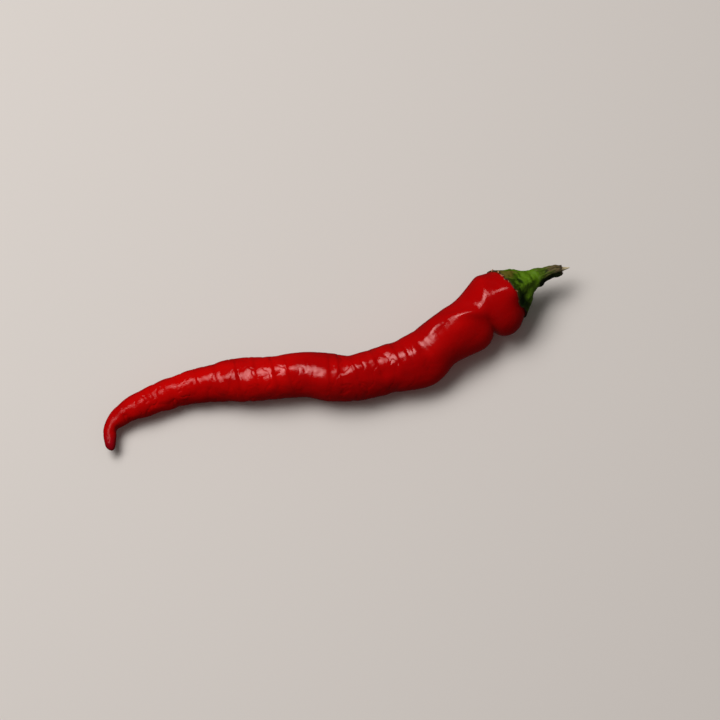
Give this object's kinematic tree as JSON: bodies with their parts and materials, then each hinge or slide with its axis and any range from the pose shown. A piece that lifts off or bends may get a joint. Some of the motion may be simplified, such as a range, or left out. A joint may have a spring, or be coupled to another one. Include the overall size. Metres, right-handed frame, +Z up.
{
  "type": "cayenne pepper",
  "caption": "Long ripe red chilli pod with a drooping hooked tip and a pinched shoulder, capped by a green calyx and a short snapped stem.",
  "frame": {"origin": "middle of the part's footprint, on the surface that it lies on", "axes": "+X along the pod from its tip to its stem, +Y across it towards the stem's side of the bend, +Z up"},
  "size_m": [0.1543, 0.0628, 0.0216],
  "materials": {
    "pod_skin": "waxy, glossy red skin with fine creases",
    "calyx_green": "leathery green with a dried brown rim",
    "stem_olive": "woody olive green, brown at the snapped end"
  },
  "bodies": {
    "root": {"pod": "pod_skin", "calyx": "calyx_green", "stem": "stem_olive"}
  },
  "joints": []
}
